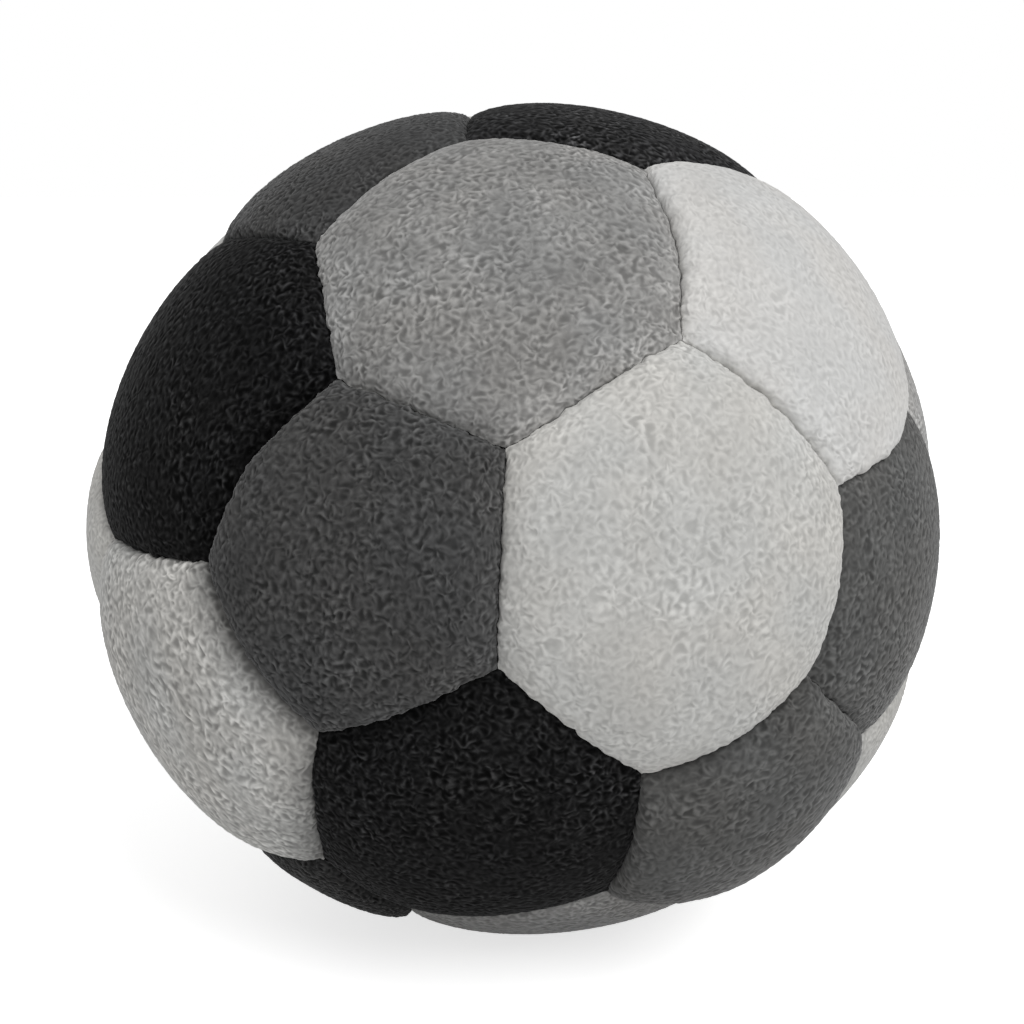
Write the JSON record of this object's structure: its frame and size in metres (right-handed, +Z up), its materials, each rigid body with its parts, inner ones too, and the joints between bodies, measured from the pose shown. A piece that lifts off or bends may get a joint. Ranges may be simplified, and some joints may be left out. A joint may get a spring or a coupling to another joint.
{
  "type": "footbag",
  "caption": "Small soft kicking ball sewn from puffy five-sided and six-sided panels of napped grey cloth round a loose filling.",
  "frame": {"origin": "middle of the ball's box, on the flat that it stands on", "axes": "+Z up; -Y is the side that faces the viewer, with +X to the viewer's right"},
  "size_m": [0.0538, 0.0536, 0.0513],
  "materials": {
    "charcoal": "charcoal napped suede-like cloth",
    "pale_grey": "pale grey napped suede-like cloth",
    "mid_grey": "middle grey napped suede-like cloth",
    "black": "black napped suede-like cloth",
    "light_grey": "light grey napped suede-like cloth",
    "dark_grey": "dark grey napped suede-like cloth",
    "thread": "waxed polyester sewing thread",
    "pellets": "loose plastic pellets"
  },
  "bodies": {
    "root": {"pentagon_panel_01": "charcoal", "pentagon_panel_02": "charcoal", "pentagon_panel_03": "pale_grey", "pentagon_panel_04": "mid_grey", "pentagon_panel_05": "black", "pentagon_panel_06": "light_grey", "pentagon_panel_07": "dark_grey", "pentagon_panel_08": "light_grey", "pentagon_panel_09": "charcoal", "pentagon_panel_10": "dark_grey", "pentagon_panel_11": "charcoal", "pentagon_panel_12": "light_grey", "hexagon_panel_01": "mid_grey", "hexagon_panel_02": "black", "hexagon_panel_03": "light_grey", "hexagon_panel_04": "light_grey", "hexagon_panel_05": "black", "hexagon_panel_06": "light_grey", "hexagon_panel_07": "mid_grey", "hexagon_panel_08": "mid_grey", "hexagon_panel_09": "dark_grey", "hexagon_panel_10": "light_grey", "hexagon_panel_11": "dark_grey", "hexagon_panel_12": "black", "hexagon_panel_13": "pale_grey", "hexagon_panel_14": "mid_grey", "hexagon_panel_15": "black", "hexagon_panel_16": "light_grey", "hexagon_panel_17": "charcoal", "hexagon_panel_18": "black", "hexagon_panel_19": "dark_grey", "hexagon_panel_20": "mid_grey", "seam_thread": "thread", "filling": "pellets"}
  },
  "joints": []
}
